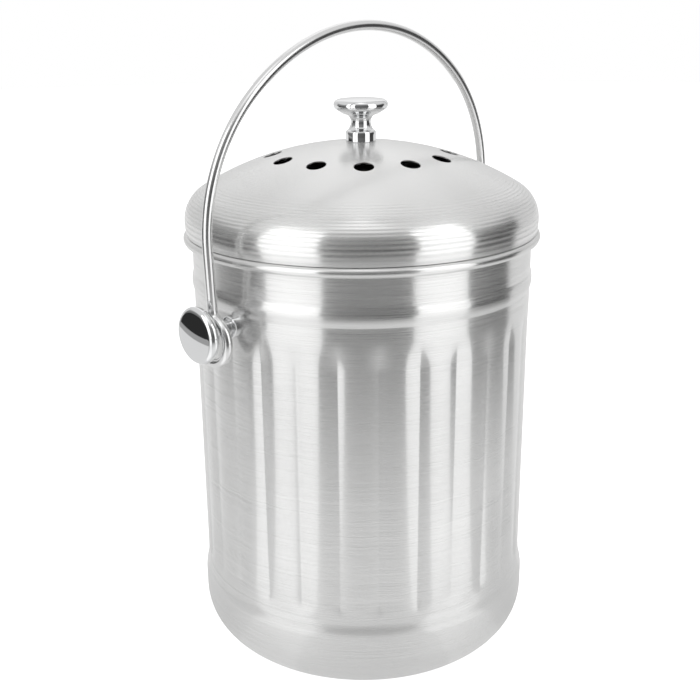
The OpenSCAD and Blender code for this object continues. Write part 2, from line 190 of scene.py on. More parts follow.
class FinishColours(bpy.types.PropertyGroup):
    """Colours and gloss of the finishes."""

    steel: colour("Steel", "Colour of the brushed bucket", (0.77, 0.77, 0.765))
    lid: colour("Lid Steel", "Colour of the turned lid", (0.78, 0.78, 0.775))
    wire: colour("Wire", "Colour of the bail's wire", (0.78, 0.78, 0.78))
    chrome: colour("Chrome", "Colour of the knob and the caps", (0.79, 0.795, 0.8))
    zinc: colour("Zinc", "Colour of the screws and washers", (0.62, 0.62, 0.61))
    charcoal: colour("Charcoal", "Colour of the filter pad", (0.05, 0.05, 0.052))
    steel_roughness: share("Steel Roughness", "Roughness of the steel between the brush lines", 0.19)
    score_roughness: share("Score Roughness", "Roughness inside the brush lines", 0.62)
    scored: share("Score Cover", "Height of grain above which the steel is scored", 0.582)
    brushing: share("Brushing", "How much more the steel scatters across its grain than along it", 0.8)
    marks: share("Turning Marks", "How much the turning marks change the lid's scored cover", 0.075)
    steel_depth: length("Bucket Grain", "Depth of the bucket's grain at the rim", 0.000026)
    lid_depth: length("Lid Grain", "Depth of the lid's grain", 0.000016)
    wall_relief: share("Wall Grain", "Depth of the ribbed wall's grain as a share of the rim's", 0.06)
    wire_roughness: share("Wire Roughness", "Roughness of the bail's wire", 0.13)
    chrome_roughness: share("Chrome Roughness", "Roughness of the knob and the caps", 0.03)
    zinc_roughness: share("Zinc Roughness", "Roughness of the screws and washers", 0.25)


class StageSettings(bpy.types.PropertyGroup):
    """Camera, lamps, floor and room."""

    camera_turn: angle("Camera Turn", "Direction of the camera from the front", -45.5)
    camera_far: length("Camera Distance", "Distance of the camera from the pail's axis", 0.56007)
    camera_z: length("Camera Height", "Height of the camera", 0.34606)
    camera_tilt: angle("Camera Tilt", "How far the camera looks down", 18.35)
    camera_pan: angle("Camera Pan", "Turn of the camera from the pail's axis", 0.682)
    camera_roll: angle("Camera Roll", "Roll of the camera", -0.544)
    lens: bpy.props.FloatProperty(
        name="Lens", description="Focal length in millimetres", default=55.17
    )
    lamp_radiance: bpy.props.FloatProperty(
        name="Lamp Brightness", description="Brightness of the two soft lamps", default=1.35
    )
    lamp_far: length("Lamp Distance", "Distance of each lamp from the axis", 0.57)
    lamp_h: length("Lamp Height", "Height of each lamp's face", 0.7)
    lamp_low: length("Lamp Foot", "Height of each lamp's lower edge", 0.11)
    left_turn: angle("Left Lamp", "Direction of the left lamp from the camera's side", -43.3)
    left_width: length("Left Lamp Width", "Width of the left lamp", 0.386)
    right_turn: angle("Right Lamp", "Direction of the right lamp from the camera's side", 50.9)
    right_width: length("Right Lamp Width", "Width of the right lamp", 0.368)
    # The table is painted light in the floor's glow, and only the steel's reflections see it
    table_near: length("Table Middle", "Radius of the table's fully lit middle", 0.3)
    table_far: length("Table Edge", "Radius at which the table has gone dark", 0.8)
    room_left: share("Room Left", "Brightness of the dark room on the camera's left", 0.33)
    room_right: share("Room Right", "Brightness of the dark room on the camera's right", 0.1)
    floor_share: share("Dark Floor", "Brightness of the far floor as a share of the room's", 0.7)
    ceiling: share("Ceiling", "Brightness of the ceiling that the steel mirrors", 0.8)
    backdrop: share("Backdrop", "Brightness of the backdrop that the steel mirrors", 1.0)
    front: share("Front", "How much brighter the ceiling is above the camera", 0.55)
    table: share("Table", "Brightness of the table that the steel mirrors", 0.88)


SETTINGS = {
    "pail_bucket": BucketSizes,
    "pail_bail": BailSizes,
    "pail_lid": LidSizes,
    "pail_finish": FinishColours,
    "pail_stage": StageSettings,
}


# Outlines, as (radius, height) points


def eased(t):
    """0 to 1 as t goes from 0 to 1, with soft ends, and level on both sides."""
    t = min(1.0, max(0.0, t))
    return t * t * (3 - 2 * t)


def steps(start, end, number):
    """Values from start to end in equal steps, both ends included."""
    return [start + (end - start) * i / number for i in range(number + 1)]


def arc(centre, radius, start, end, number):
    """Points of an arc from angle start to angle end, in degrees, both ends included."""
    turns = (math.radians(turn) for turn in steps(start, end, number))
    return [(centre[0] + radius * math.cos(t), centre[1] + radius * math.sin(t)) for t in turns]


def rounded(points, radii, number=3):
    """The points with each inner corner rounded by its radius; 0 leaves a corner sharp."""
    made = [points[0]]
    for before, corner, after, radius in zip(points, points[1:], points[2:], radii):
        here = Vector(corner)
        back = (Vector(before) - here).normalized()
        ahead = (Vector(after) - here).normalized()
        half = back.angle(ahead) / 2
        if radius == 0 or abs(half - math.pi / 2) < 1e-4:
            made.append(corner)
            continue
        reach = radius / math.tan(half)
        centre = here + (back + ahead).normalized() * radius / math.sin(half)
        first = here + back * reach - centre
        sweep = math.pi - 2 * half
        if back.x * ahead.y - back.y * ahead.x > 0:
            sweep = -sweep
        for turn in steps(0, sweep, number):
            made.append(tuple(centre + Matrix.Rotation(turn, 2) @ first))
    return [*made, points[-1]]


def thinned(points):
    """The points without repeats."""
    kept = [points[0]]
    for point in points[1:]:
        if math.dist(point, kept[-1]) > NEAR:
            kept.append(point)
    return kept


# Modelling steps


def mode(name):
    """Enters edit mode or object mode."""
    bpy.ops.object.mode_set(mode=name)


def select_only(piece=None):
    """Selects and activates one piece, or selects nothing."""
    bpy.ops.object.select_all(action="DESELECT")
    if piece:
        piece.select_set(True)
        bpy.context.view_layer.objects.active = piece


def start_vertex(name, start):
    """A new mesh of one vertex, in edit mode."""
    select_only()
    bpy.ops.mesh.primitive_plane_add(size=0.01)
    piece = bpy.context.object
    piece.name = piece.data.name = name
    mode("EDIT")
    bpy.ops.mesh.merge(type="CENTER")
    bpy.ops.transform.translate(value=start)
    return piece


def draw_outline(name, points):
    """A chain of edges in the XZ plane, extruded from point to point, in edit mode."""
    points = thinned(points)
    piece = start_vertex(name, (points[0][0], 0, points[0][1]))
    for (xa, za), (xb, zb) in zip(points, points[1:]):
        bpy.ops.mesh.extrude_region_move(TRANSFORM_OT_translate={"value": (xb - xa, 0, zb - za)})
    bpy.ops.mesh.select_all(action="SELECT")
    return piece


def spin(number, turn, centre=(0, 0, 0), axis=(0, 0, 1), copies=False):
    """Spins the selection in a number of steps, anticlockwise when seen against the axis."""
    bpy.ops.mesh.spin(steps=number, angle=-turn, center=centre, axis=axis, dupli=copies)


def merge_doubles():
    """Selects all and merges points that lie in one place."""
    bpy.ops.mesh.select_all(action="SELECT")
    bpy.ops.mesh.remove_doubles(threshold=MERGE)


def close_turned(piece):
    """Merges a closed turned shape, points its faces outwards and leaves edit mode."""
    merge_doubles()
    bpy.ops.mesh.normals_make_consistent(inside=False)
    mode("OBJECT")
    smooth(piece)
    return piece


def turned(name, points, number=96):
    """A solid turned from an outline that starts and ends on the axis or meets itself."""
    piece = draw_outline(name, points)
    spin(number, 2 * math.pi)
    return close_turned(piece)


def smooth(piece, degrees=30):
    """Smooth shading, apart from edges that turn by more than an angle."""
    select_only(piece)
    bpy.ops.object.shade_smooth_by_angle(angle=math.radians(degrees))


def face_out(piece):
    """Turns an open skin's faces outwards, judged on its lowest face, and leaves edit mode."""
    bpy.ops.mesh.normals_make_consistent(inside=False)
    mode("OBJECT")
    heights = [v.co.z for v in piece.data.vertices]
    middle = Vector((0, 0, (min(heights) + max(heights)) / 2))
    lowest = min(piece.data.polygons, key=lambda p: p.center.z)
    if lowest.normal.dot(lowest.center - middle) < 0:
        mode("EDIT")
        bpy.ops.mesh.select_all(action="SELECT")
        bpy.ops.mesh.flip_normals()
        mode("OBJECT")


def repeat_sector(piece, number, sheet):
    """Makes a whole shell of one sector's outer skin, with the sheet's thickness inside it."""
    bpy.ops.mesh.select_all(action="SELECT")
    spin(number - 1, 2 * math.pi * (number - 1) / number, copies=True)
    merge_doubles()
    face_out(piece)
    thicken(piece, sheet)


def thicken(piece, sheet):
    """Gives an outer skin its thickness, inwards."""
    bpy.ops.object.modifier_add(type="SOLIDIFY")
    modifier = piece.modifiers[-1]
    modifier.thickness = sheet
    modifier.offset = -1
    modifier.use_even_offset = True
    bpy.ops.object.modifier_apply(modifier=modifier.name)


def place(piece, move=(0, 0, 0), turn=(0, 0, 0)):
    """Moves and turns a piece, then applies it to the mesh."""
    select_only(piece)
    piece.rotation_euler = turn
    piece.location = move
    bpy.ops.object.transform_apply(location=True, rotation=True, scale=True)
    return piece


def hand_over(piece, body, slot, *nodes):
    """Gives a finished piece its finish and its body, and hides the CAD nodes that it stands for."""
    piece.data.materials.clear()
    piece.data.materials.append(bpy.data.materials[FINISHES[slot]])
    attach(piece, body)
    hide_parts(*nodes)


# Material nodes


class Shading:
    """Adds nodes to one tree, each with its inputs as numbers or as other nodes' sockets."""

    def __init__(self, tree):
        self.tree = tree

    def fill(self, sockets, values):
        """Gives named sockets their constant values or their links."""
        for name, value in values.items():
            if isinstance(value, bpy.types.NodeSocket):
                self.tree.links.new(value, sockets[name])
            else:
                sockets[name].default_value = value

    def node(self, kind, inputs=None, **settings):
        made = self.tree.nodes.new(kind)
        for name, value in settings.items():
            setattr(made, name, value)
        self.fill(made.inputs, inputs or {})
        return made

    def use(self, name, vector):
        """One of the node groups, at a place or in a direction."""
        return self.node("ShaderNodeGroup", {0: vector}, node_tree=bpy.data.node_groups[name])

    def math(self, operation, *values):
        return self.node("ShaderNodeMath", dict(enumerate(values)), operation=operation).outputs[0]

    def product(self, first, *others):
        for other in others:
            first = self.math("MULTIPLY", first, other)
        return first

    def largest(self, first, *others):
        for other in others:
            first = self.math("MAXIMUM", first, other)
        return first

    def split(self, vector):
        return self.node("ShaderNodeSeparateXYZ", {0: vector}).outputs

    def length(self, vector):
        return self.node("ShaderNodeVectorMath", {0: vector}, operation="LENGTH").outputs["Value"]

    def remap(self, value, low, high, to_low, to_high, kind="SMOOTHSTEP"):
        """value from low..high to to_low..to_high, with soft ends."""
        ends = {"Value": value, "From Min": low, "From Max": high, "To Min": to_low, "To Max": to_high}
        return self.node("ShaderNodeMapRange", ends, interpolation_type=kind).outputs["Result"]

    def noise(self, vector, scale, detail=2.0, roughness=0.5, w=None):
        inputs = {"Vector": vector, "Scale": scale, "Detail": detail, "Roughness": roughness}
        if w is not None:
            inputs["W"] = w
        size = "3D" if w is None else "4D"
        return self.node("ShaderNodeTexNoise", inputs, noise_dimensions=size).outputs["Fac"]

    def tint(self, factor, dark, light, base):
        """The base colour, darker where factor is low and lighter where it is high."""
        low, high = ((*[min(1.0, c * change) for c in base], 1.0) for change in (dark, light))
        ends = {"Factor": factor, "A": low, "B": high}
        return self.node("ShaderNodeMix", ends, data_type="RGBA").outputs["Result"]

    def mix(self, factor, first, second):
        ends = {"Factor": factor, "A": first, "B": second}
        return self.node("ShaderNodeMix", ends, data_type="FLOAT").outputs["Result"]

    def bump(self, height, strength, depth):
        relief = {"Height": height, "Strength": strength, "Distance": depth}
        return self.node("ShaderNodeBump", relief).outputs[0]


def new_group(name, inputs, outputs):
    """An empty node group, with the sockets that it is given and those that it has to fill."""
    tree = bpy.data.node_groups.new(name, "ShaderNodeTree")
    tree.interface.new_socket(name="Vector", in_out="INPUT", socket_type="NodeSocketVector")
    for label, default in inputs.items():
        socket = tree.interface.new_socket(name=label, in_out="INPUT", socket_type="NodeSocketFloat")
        socket.default_value = default
    for label in outputs:
        tree.interface.new_socket(name=label, in_out="OUTPUT", socket_type="NodeSocketFloat")
    given, filled = tree.nodes.new("NodeGroupInput"), tree.nodes.new("NodeGroupOutput")
    return Shading(tree), given.outputs, filled.inputs


def turned_grain_group():
    """Fine lines that run round the Z axis, as brushing or turning leaves them."""
    shading, given, filled = new_group(
        "Turned Grain",
        {"Line Density": 9000.0, "Streak Density": 14.0, "Flat Radius": 1.0},
        ("Lines", "Fine", "Streaks", "Smudges", "Radius"),
    )
    relief_share, fine_share, streak_share, blotch_density = 0.14, 6.0, 0.16, 22.0
    x, y, z = shading.split(given["Vector"])
    out = shading.length(shading.node("ShaderNodeCombineXYZ", {"X": x, "Y": y}).outputs[0])
    radius = shading.math("MINIMUM", out, given["Flat Radius"])
    speckle = shading.node(
        "ShaderNodeTexWhiteNoise", {"Vector": given["Vector"]}, noise_dimensions="3D"
    ).outputs["Value"]

    def lines(density_share, broken=0.0):
        """Lines at a share of the density, broken into specks so that they make no moire."""
        density = shading.product(given["Line Density"], density_share)
        along_z = shading.product(z, density)
        if broken:
            along_z = shading.math("MULTIPLY_ADD", speckle, broken, along_z)
        spread = {
            "X": shading.product(x, given["Streak Density"]),
            "Y": shading.product(y, given["Streak Density"]),
            "Z": along_z,
        }
        point = shading.node("ShaderNodeCombineXYZ", spread).outputs[0]
        return shading.noise(point, 1.0, roughness=0.6, w=shading.product(radius, density))

    values = {
        "Lines": lines(relief_share),
        "Fine": lines(fine_share, broken=9.0),
        "Streaks": lines(streak_share),
        "Smudges": shading.noise(given["Vector"], blotch_density, 3.0, 0.55),
        "Radius": out,
    }
    shading.fill(filled, values)


def scuffs_group():
    """Sparse short scratches and rubbed patches for polished metal."""
    shading, given, filled = new_group("Scuffs", {"Density": 300.0}, ("Scratches", "Haze"))
    scratch_start, scratch_full, haze_density = 0.64, 0.72, 60.0
    stretch = {"Vector": given["Vector"], "Scale": (1.0, 0.12, 0.5)}
    stretched = shading.node("ShaderNodeMapping", stretch).outputs[0]
    raw = shading.noise(stretched, given["Density"], 3.0, 0.7)
    values = {
        "Scratches": shading.remap(raw, scratch_start, scratch_full, 0.0, 1.0),
        "Haze": shading.noise(given["Vector"], haze_density),
    }
    shading.fill(filled, values)


def new_material(name, base):
    """A new material's shading, its Principled shader's sockets and its Object coordinates."""
    material = bpy.data.materials.new(name)
    material.use_nodes = True
    material.diffuse_color = (*base, 1.0)
    shading = Shading(material.node_tree)
    where = shading.node("ShaderNodeTexCoord").outputs["Object"]
    return shading, material.node_tree.nodes["Principled BSDF"].inputs, where


# How much smudges and streaks change the brushed steel's scored cover, how softly its scores end
# and how much its brightness varies
SMUDGES, STREAKS, SCORE_EDGE, MOTTLING = 0.06, 0.012, 0.05, 0.003

# The turning marks' spacing, and the heights between which they fade and the grain gets deeper
MARK_PITCH, MARK_FADE, GRAIN_RISE = 0.0026, (0.25, 0.258), (0.186, 0.2)


def brushed_steel(name, base, flat_r, depth, finish, relief_below=1.0, marks=0.0):
    """Steel brushed round the Z axis: sharp along the grain, soft across it."""
    shading, sockets, where = new_material(name, base)
    group = shading.use("Turned Grain", where)
    group.inputs["Flat Radius"].default_value = flat_r
    grain = group.outputs
    height = shading.split(where)["Z"]
    worn = shading.math("MULTIPLY_ADD", grain["Smudges"], SMUDGES, grain["Fine"])
    worn = shading.math("MULTIPLY_ADD", grain["Streaks"], STREAKS, worn)
    if marks:
        slope = shading.math("SUBTRACT", height, grain["Radius"])
        wave = shading.math("SINE", shading.product(slope, 2 * math.pi / MARK_PITCH))
        shoulder = shading.remap(height, *MARK_FADE, marks, 0.0)
        uneven = shading.remap(grain["Streaks"], 0.3, 0.7, 0.3, 1.0)
        worn = shading.math("ADD", worn, shading.product(wave, shoulder, uneven))
    start, full = finish.scored - SCORE_EDGE, finish.scored + SCORE_EDGE
    relief_share = shading.remap(height, *GRAIN_RISE, relief_below, 1.0)
    values = {
        "Metallic": 1.0,
        "Anisotropic": finish.brushing,
        "Anisotropic Rotation": 0.25,
        "Tangent": shading.node("ShaderNodeTangent", direction_type="RADIAL", axis="Z").outputs[0],
        "Base Color": shading.tint(grain["Streaks"], 1 - MOTTLING, 1 + MOTTLING, base),
        "Roughness": shading.remap(worn, start, full, finish.steel_roughness, finish.score_roughness),
        "Normal": shading.bump(shading.product(grain["Lines"], relief_share), 1.0, depth),
    }
    shading.fill(sockets, values)


def polished(name, base, rough, depth):
    """Polished metal with faint scratches, and hazy patches up to 1.7 times as rough."""
    shading, sockets, where = new_material(name, base)
    scuffs = shading.use("Scuffs", where).outputs
    values = {
        "Metallic": 1.0,
        "Base Color": shading.tint(scuffs["Haze"], 0.97, 1.02, base),
        "Roughness": shading.remap(scuffs["Haze"], 0.3, 0.7, rough, rough * 1.7),
        "Normal": shading.bump(scuffs["Scratches"], 0.5, depth),
    }
    shading.fill(sockets, values)


def charcoal_felt(base):
    """Matt black felt with fibres and loose grains."""
    shading, sockets, where = new_material("Charcoal Felt", base)
    fibre_density, clump_density, fibre_depth = 1400.0, 260.0, 0.0004
    fibres = shading.noise(where, fibre_density, 4.0, 0.7)
    height = shading.math("ADD", fibres, shading.noise(where, clump_density))
    values = {
        "Base Color": shading.tint(fibres, 0.5, 2.2, base),
        "Roughness": 0.95,
        "Specular IOR Level": 0.15,
        "Normal": shading.bump(height, 0.9, fibre_depth),
    }
    shading.fill(sockets, values)


class PAIL_OT_finishes(bpy.types.Operator):
    """Makes the finishes and gives them to the CAD pieces that stay in view"""

    bl_idname = "pail.finishes"
    bl_label = "Finishes"

    # Polished finishes, with the key of their colour and roughness and the depth of their scratches
    POLISHED = (
        ("Wire Steel", "wire", 0.000003),
        ("Bright Chrome", "chrome", 0.000002),
        ("Zinc", "zinc", 0.00001),
    )

    def execute(self, context):
        finish, bucket = context.scene.pail_finish, context.scene.pail_bucket
        turned_grain_group()
        scuffs_group()
        base_r = bucket.wall_r - bucket.corner_r
        steel, lid, below = tuple(finish.steel), tuple(finish.lid), finish.wall_relief
        brushed_steel("Bucket Steel", steel, base_r, finish.steel_depth, finish, relief_below=below)
        brushed_steel("Lid Steel", lid, 1.0, finish.lid_depth, finish, marks=finish.marks)
        for name, key, depth in self.POLISHED:
            polished(name, tuple(getattr(finish, key)), getattr(finish, key + "_roughness"), depth)
        charcoal_felt(tuple(finish.charcoal))
        slots = {part["node"]: part["material_slot"] for part in frame["record"]["subparts"]}
        for name, cad_node in frame["nodes"].items():
            for slot in cad_node.material_slots:
                slot.material = bpy.data.materials[FINISHES[slots[name]]]
        return {"FINISHED"}


class PAIL_OT_bucket(bpy.types.Operator):
    """Models the ribbed bucket as one sheet, a rib at a time, with its rolled rim"""

    bl_idname = "pail.bucket"
    bl_label = "Bucket"

    # Columns of faces in each rib, crowded towards the groove, and rows of faces up the section
    COLUMNS, CROWDING = 20, 1.8
    CORNER_ROWS, SHOULDER_ROWS, FOOT_ROWS, WALL_ROWS = 14, 18, 8, 5
    TOP_ROWS, RING_ROWS, ROLL_ROWS = 12, 12, 26
    RECESS_SLOPE, RECESS_ROUND = 0.003, 0.002
    RING_BLEND, RING_ROUND = 0.003, 0.002

    def outline(self, size, top):
        """The outer skin's section from the middle of the base to the end of the rim's roll."""
        band_r = size.wall_r + size.band_out
        base = rounded(
            [
                (0, size.recess_h),
                (size.recess_r * 0.5, size.recess_h),
                (size.recess_r, size.recess_h),
                (size.recess_r + self.RECESS_SLOPE, 0),
                (band_r - size.corner_r, 0),
            ],
            [0, self.RECESS_ROUND, self.RECESS_ROUND],
        )
        side = arc((band_r - size.corner_r, size.corner_r), size.corner_r, -90, 0, self.CORNER_ROWS)
        rise = size.band_end - size.band_z
        shoulder = [
            (size.wall_r + size.band_out * (1 - eased(up)), size.band_z + rise * up)
            for up in steps(0, 1, self.SHOULDER_ROWS)
        ]
        foot_z = size.rib_foot + size.fade_foot
        top_z = size.rib_top - size.fade_top
        wall = [
            (size.wall_r, z)
            for low, high, rows in (
                (size.rib_foot, foot_z, self.FOOT_ROWS),
                (foot_z, top_z, self.WALL_ROWS),
                (top_z, size.rib_top, self.TOP_ROWS),
            )
            for z in steps(low, high, rows)[1:]
        ]
        ring_z = top - size.ring_drop
        arc_r = (size.ring_half**2 + size.ring_out**2) / (2 * size.ring_out)
        spread = math.degrees(math.asin(size.ring_half / arc_r))
        middle = (size.wall_r + size.ring_out - arc_r, ring_z)
        bulge = arc(middle, arc_r, -spread, spread, self.RING_ROWS)
        reach = size.ring_half + self.RING_BLEND
        below = rounded([(size.wall_r, ring_z - reach), bulge[0], bulge[2]], [self.RING_ROUND])
        above = rounded([bulge[-3], bulge[-1], (size.wall_r, ring_z + reach)], [self.RING_ROUND])
        curl = (size.wall_r - size.sheet + size.bead_r, top - size.bead_r)
        roll_end = 180 - math.degrees(size.bead_end)
        roll = arc(curl, size.bead_r - size.sheet, 180, roll_end, self.ROLL_ROWS)
        return [*base, *side, *shoulder, *wall, *below, *bulge[3:-3], *above, *roll]

    def groove_depth(self, size, offset, z):
        """How deep the wall lies at an angle from a groove and at a height, with soft run-outs."""
        axis_r = size.wall_r - size.rib_inset - size.rib_r
        turn = math.pi / size.ribs - math.hypot(offset, size.groove_round / size.wall_r)
        rib = axis_r * math.cos(turn) + math.sqrt(size.rib_r**2 - (axis_r * math.sin(turn)) ** 2)
        foot = eased((z - size.rib_foot) / size.fade_foot)
        return (size.wall_r - rib) * foot * eased((size.rib_top - z) / size.fade_top)

    def execute(self, context):
        size = context.scene.pail_bucket
        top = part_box("bucket_body")[1].z
        piece = draw_outline("bucket_shell", self.outline(size, top))
        sector = 2 * math.pi / size.ribs
        spin(self.COLUMNS, sector)
        merge_doubles()
        mode("OBJECT")
        for vertex in piece.data.vertices:
            turn = math.atan2(vertex.co.y, vertex.co.x) / (sector / 2) - 1
            offset = math.copysign(abs(turn) ** self.CROWDING, turn) * sector / 2
            radius = vertex.co.xy.length - self.groove_depth(size, offset, vertex.co.z)
            vertex.co.x = radius * math.cos(size.rib_turn + offset)
            vertex.co.y = radius * math.sin(size.rib_turn + offset)
        mode("EDIT")
        repeat_sector(piece, size.ribs, size.sheet)
        smooth(piece, 40)
        hand_over(piece, "bucket", "bucket_steel", "bucket_body")
        return {"FINISHED"}


class PAIL_OT_lid(bpy.types.Operator):
    """Models the domed lid as one sheet with turned grooves and a circle of vents"""

    bl_idname = "pail.lid"
    bl_label = "Lid"

    # Faces: columns in each vent's sector, the patch round a vent, and rows down the section
    COLUMNS, PATCH_COLUMNS, PATCH_ROWS, PATCH_HALF = 18, 10, 8, 0.0068
    INNER_RADII = (0.004, 0.0074, 0.012, 0.018, 0.025, 0.032)
    DOME_ROWS, GROOVE_ROWS, EDGE_ROWS = 8, 5, 6

    # The turned grooves: where they begin, how far they fade at both ends, and their unevenness
    GROOVED_R, FADE_IN, FADE_OUT = 0.074, 0.008, 0.002
    UNEVEN, UNEVEN_WAVES = 0.35, (2100, 790)

    def patch(self, size):
        """The inner and the outer radius of the patches that hold the vents."""
        return size.vent_circle_r - self.PATCH_HALF, size.vent_circle_r + self.PATCH_HALF

    def outline(self, size):
        """The outer skin's section from the screw hole to the lower edge, and the dome's centre."""
        shoulder_z = size.lid_z + size.edge_h
        shoulder_x = size.lid_r - size.shoulder_r
        meet = math.asin(shoulder_x / (size.dome_r - size.shoulder_r))
        dome_z = shoulder_z - (size.dome_r - size.shoulder_r) * math.cos(meet)
        low, high = self.patch(size)
        radii = [size.screw_hole_r, *self.INNER_RADII, *steps(low, high, self.PATCH_ROWS)]
        radii += steps(high, self.GROOVED_R, self.DOME_ROWS)[1:-1]
        dome = [(r, dome_z + math.sqrt(size.dome_r**2 - r * r)) for r in radii]
        start = math.asin(self.GROOVED_R / size.dome_r)
        dome_arc = size.dome_r * (meet - start)
        total = dome_arc + size.shoulder_r * (math.pi / 2 - meet)
        grooves = round(total / size.groove_pitch)
        lower = []
        for along in steps(0, total, grooves * self.GROOVE_ROWS):
            if along < dome_arc:
                tilt = start + along / size.dome_r
                centre, radius = (0, dome_z), size.dome_r
            else:
                tilt = meet + (along - dome_arc) / size.shoulder_r
                centre, radius = (shoulder_x, shoulder_z), size.shoulder_r
            fade = min(1.0, along / self.FADE_IN, (total - along) / self.FADE_OUT)
            long_wave, short_wave = (along * waves for waves in self.UNEVEN_WAVES)
            uneven = 1 - self.UNEVEN * (1 - math.sin(long_wave) * math.cos(short_wave))
            wave = 1 + math.cos(2 * math.pi * grooves * along / total)
            radius -= size.groove_depth * wave * fade * uneven
            lower.append((centre[0] + radius * math.sin(tilt), centre[1] + radius * math.cos(tilt)))
        edge = [
            (size.lid_r - size.edge_in * down**2, shoulder_z - size.edge_h * down)
            for down in steps(0, 1, self.EDGE_ROWS)[1:]
        ]
        return dome + lower + edge, dome_z

    def cut_vent(self, piece, size, dome_z):
        """Opens one vent in the sector by bridging a square gap to a circle on the dome."""
        half_turn = math.pi / size.vents
        half_patch = half_turn * self.PATCH_COLUMNS / self.COLUMNS
        low, high = self.patch(size)
        mesh = bmesh.from_edit_mesh(piece.data)

        def inside(point, slack):
            turn = abs(math.atan2(point.y, point.x) - half_turn)
            in_turn = turn < half_patch + slack / size.vent_circle_r
            return low - slack < point.xy.length < high + slack and in_turn

        bpy.ops.mesh.select_mode(type="FACE")
        for face in mesh.faces:
            face.select_set(inside(face.calc_center_median(), 0))
        bmesh.update_edit_mesh(piece.data)
        bpy.ops.mesh.delete(type="FACE")
        bpy.ops.mesh.select_mode(type="EDGE")
        bpy.ops.mesh.select_all(action="DESELECT")
        tilt = math.asin(size.vent_circle_r / size.dome_r)
        across = size.vent_circle_r
        bpy.ops.mesh.primitive_circle_add(
            vertices=2 * (self.PATCH_COLUMNS + self.PATCH_ROWS),
            radius=size.vent_r,
            location=(
                across * math.cos(half_turn),
                across * math.sin(half_turn),
                dome_z + size.dome_r * math.cos(tilt),
            ),
            rotation=(0, tilt, half_turn),
        )
        mesh = bmesh.from_edit_mesh(piece.data)
        for edge in mesh.edges:
            if edge.is_boundary and all(inside(v.co, NEAR) for v in edge.verts):
                edge.select_set(True)
        bmesh.update_edit_mesh(piece.data)
        bpy.ops.mesh.bridge_edge_loops(number_cuts=2, interpolation="LINEAR")
        mesh = bmesh.from_edit_mesh(piece.data)
        centre = Vector((0, 0, dome_z))
        for vertex in mesh.verts:
            if inside(vertex.co, NEAR):
                vertex.co = centre + (vertex.co - centre).normalized() * size.dome_r
        bmesh.update_edit_mesh(piece.data)
        bpy.ops.mesh.select_mode(type="VERT")

    def execute(self, context):
        size = context.scene.pail_lid
        points, dome_z = self.outline(size)
        piece = draw_outline("lid_shell", points)
        sector = 2 * math.pi / size.vents
        spin(self.COLUMNS, sector)
        merge_doubles()
        self.cut_vent(piece, size, dome_z)
        repeat_sector(piece, size.vents, context.scene.pail_bucket.sheet)
        place(piece, turn=(0, 0, size.vent_turn - sector / 2))
        smooth(piece, 40)
        hand_over(piece, "lid", "lid_steel", "lid_dome")
        return {"FINISHED"}


# Where a head's rounded edge begins on its underside, in degrees from its widest line
UNDERCUT = -60


def head_outline(head_r, head_z, neck_r, neck_z, flare_r, size):
    """A turned head from its neck up to the middle of its dome."""
    flat_r = head_r - size.head_edge_r
    dome_r = (flat_r**2 + size.head_dome_h**2) / (2 * size.head_dome_h)
    dome_z = head_z + size.head_edge_r + size.head_dome_h - dome_r
    spread = math.degrees(math.asin(flat_r / dome_r))
    edge = arc((flat_r, head_z), size.head_edge_r, UNDERCUT, 90 - spread, 14)
    rise = (edge[0][1] - neck_z) / flare_r
    flare_end = math.degrees(math.asin(min(1.0, rise)))
    flare = arc((neck_r + flare_r, neck_z), flare_r, 180, 180 - flare_end, 12)
    dome = arc((0, dome_z), dome_r, 90 - spread, 90, 12)
    return [*flare, *edge, *dome[1:]]


class PAIL_OT_knob(bpy.types.Operator):
    """Turns the lid's knob, with a rounded foot and a hollow neck"""

    bl_idname = "pail.knob"
    bl_label = "Knob"

    # Height of the threaded hole's end, and the directions in degrees between which the foot's
    # rounded edge and the hollow over it are drawn
    HOLE_TOP = 0.012
    FOOT_TURN, WAIST_TURN = (0, 75), (218, 180)

    def execute(self, context):
        size = context.scene.pail_lid
        neck_r, neck_z = size.knob_neck_r, size.knob_neck_z
        head = head_outline(size.knob_r, size.knob_z, neck_r, neck_z, size.knob_flare_r, size)
        drop = size.knob_foot_r**2 / (2 * size.dome_r)
        edge, waist_r = size.knob_foot_edge, size.knob_waist_r
        foot = [
            (0, self.HOLE_TOP),
            (size.thread_r, self.HOLE_TOP),
            (size.thread_r, 0),
            (size.knob_foot_r - size.foot_chamfer, -drop),
            (size.knob_foot_r, size.foot_chamfer - drop),
            *arc((size.knob_foot_r - edge, size.knob_foot_h - edge), edge, *self.FOOT_TURN, 6),
            *arc((neck_r + waist_r, neck_z), waist_r, *self.WAIST_TURN, 8),
        ]
        piece = turned("knob", foot + head)
        place(piece, (0, 0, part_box("lid_dome")[1].z))
        smooth(piece)
        hand_over(piece, "lid", "bright_chrome", "lid_knob")
        return {"FINISHED"}


